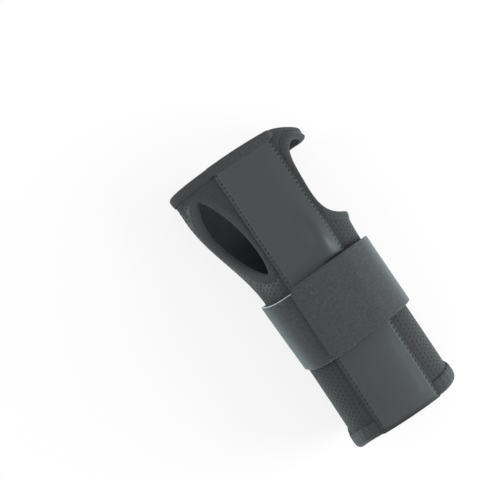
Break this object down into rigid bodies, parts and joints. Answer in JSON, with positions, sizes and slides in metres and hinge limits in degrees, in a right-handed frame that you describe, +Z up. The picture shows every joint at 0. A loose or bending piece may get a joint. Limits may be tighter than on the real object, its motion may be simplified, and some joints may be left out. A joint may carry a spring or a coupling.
{
  "type": "wrist splint",
  "caption": "Right-hand wrist splint: a mesh sleeve with thumb and side openings, a palm panel with a pull-out metal stay, and one wrap strap with a peel-off end.",
  "frame": {"origin": "on the floor, under the middle of the box round the splint as it lies on its back", "axes": "+X to the thumb side, +Y along the arm to the fingers, +Z up, out of the palm panel"},
  "size_m": [0.0966, 0.2042, 0.0691],
  "materials": {
    "mesh": "black spacer mesh with small round holes",
    "lining": "brushed black knit",
    "cover": "smooth matte black coated fabric",
    "stay": "brushed",
    "tip": "dipped vinyl",
    "binding": "black knit tape",
    "strap": "black brushed loop webbing",
    "hook": "hook tape"
  },
  "bodies": {
    "splint": {"mesh_sleeve": "mesh", "palm_lining": "lining", "palm_cover": "cover", "thumb_binding": "binding", "ulnar_binding": "binding", "finger_binding": "binding", "cuff_hem": "binding", "strap_base": "strap"},
    "strap_tail": {"strap_tail": "strap", "hook_tab": "hook"},
    "stay": {"palmar_stay": "stay", "stay_tip_distal": "tip", "stay_tip_proximal": "tip"}
  },
  "joints": [
    {"name": "strap_tail_peel", "type": "hinge", "parent": "splint", "child": "strap_tail", "pos_m": [0.04556, -0.01514, 0.0362], "axis": [-0.0124, 0.9924, -0.1227], "range_deg": [0, 150]},
    {"name": "stay_pull", "type": "hinge", "parent": "splint", "child": "stay", "pos_m": [0.00425, -0.09957, -0.74099], "axis": [1, 0, 0], "range_deg": [0, 13.8]}
  ]
}
